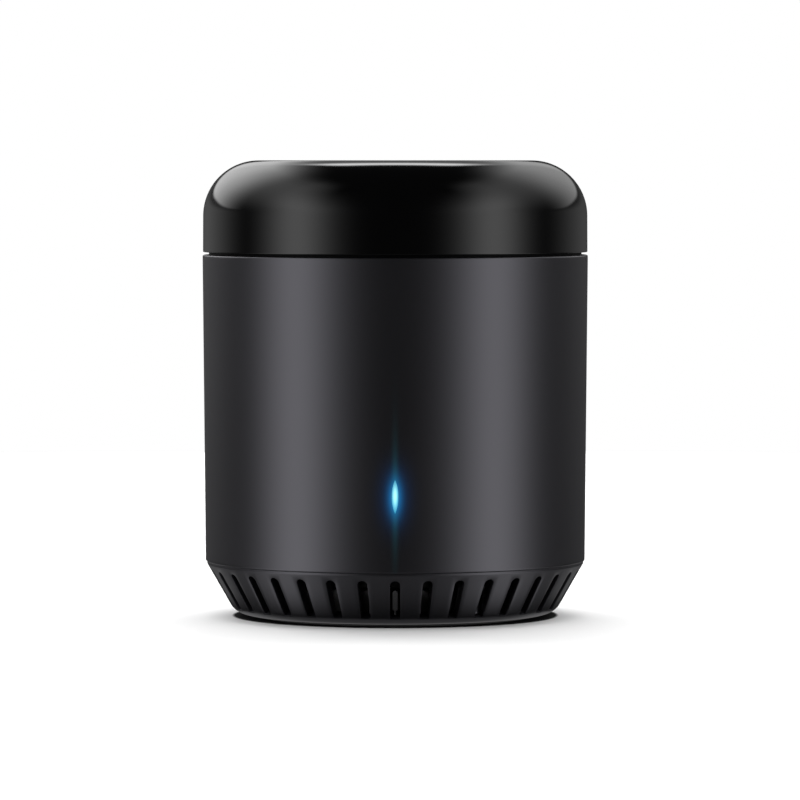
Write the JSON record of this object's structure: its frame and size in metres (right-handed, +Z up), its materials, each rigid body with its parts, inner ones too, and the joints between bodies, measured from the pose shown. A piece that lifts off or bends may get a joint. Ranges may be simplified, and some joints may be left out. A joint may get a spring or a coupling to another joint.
{
  "type": "smart infrared blaster",
  "caption": "Small round tabletop infrared remote-control hub: glossy domed cap on a satin sleeve, over a sloping slotted base with a light slit, a reset key and a power inlet.",
  "frame": {"origin": "centre of the foot pad's underside, on the table", "axes": "+Z up along the case's axis, -Y towards the front with the status light and the reset key, +Y towards the power inlet, +X to the right seen from the front"},
  "size_m": [0.055, 0.055, 0.065],
  "materials": {
    "dome_plastic": "high gloss, near black, lets infrared through",
    "shell_plastic": "fine satin, near black",
    "inner_plastic": "moulded",
    "foot_rubber": "soft, matt",
    "light_guide": "clear light guide, glows when the lamp is on",
    "key_plastic": "moulded",
    "connector_steel": "plated",
    "contact_gold": "gold-plated",
    "board": "black solder mask",
    "radio_board": "dark blue solder mask",
    "chip_plastic": "moulded package",
    "tinned_leads": "tinned",
    "ferrite": "sintered",
    "can_aluminium": "drawn",
    "ceramic_body": "fired",
    "lamp_lens": "clear",
    "header_plastic": "moulded",
    "wire_jacket": "flexible insulation",
    "emitter_lens": "smoky, lets infrared through",
    "steel_screw": "zinc plated"
  },
  "bodies": {
    "case": {"ir_dome": "dome_plastic", "neck_ring": "inner_plastic", "body_sleeve": "shell_plastic", "vent_base": "shell_plastic", "foot_pad": "foot_rubber", "light_pipe": "light_guide", "reset_switch_case": "chip_plastic", "reset_switch_cover": "connector_steel", "usb_shell": "connector_steel", "usb_tongue": "inner_plastic", "usb_contacts": "contact_gold", "main_board": "board", "main_board_screws": "steel_screw", "wifi_board": "radio_board", "wifi_shield": "connector_steel", "wifi_antenna": "contact_gold", "memory_chip": "chip_plastic", "memory_chip_leads": "tinned_leads", "voltage_regulator": "chip_plastic", "regulator_leads": "tinned_leads", "power_inductor": "ferrite", "inductor_pads": "tinned_leads", "capacitor_can": "can_aluminium", "capacitor_base": "chip_plastic", "ceramic_capacitors": "ceramic_body", "chip_resistors": "chip_plastic", "status_led": "lamp_lens", "lower_header": "header_plastic", "upper_header": "header_plastic", "lower_plug": "header_plastic", "upper_plug": "header_plastic", "link_wires": "wire_jacket", "ir_board": "board", "ir_board_screws": "steel_screw", "ir_emitters": "emitter_lens", "ir_emitter_leads": "tinned_leads", "top_emitter": "emitter_lens", "top_emitter_leads": "tinned_leads", "ir_receiver": "emitter_lens", "ir_receiver_leads": "tinned_leads", "driver_transistors": "chip_plastic", "transistor_leads": "tinned_leads", "emitter_resistors": "chip_plastic"},
    "reset_button": {"reset_key": "key_plastic", "reset_switch_stem": "inner_plastic"}
  },
  "joints": [
    {"name": "reset_press", "type": "slide", "parent": "case", "child": "reset_button", "axis": [0, 1, 0], "range_m": [0, 0.00035], "stiffness_N_per_m": 400, "springref_m": -0.0005}
  ]
}
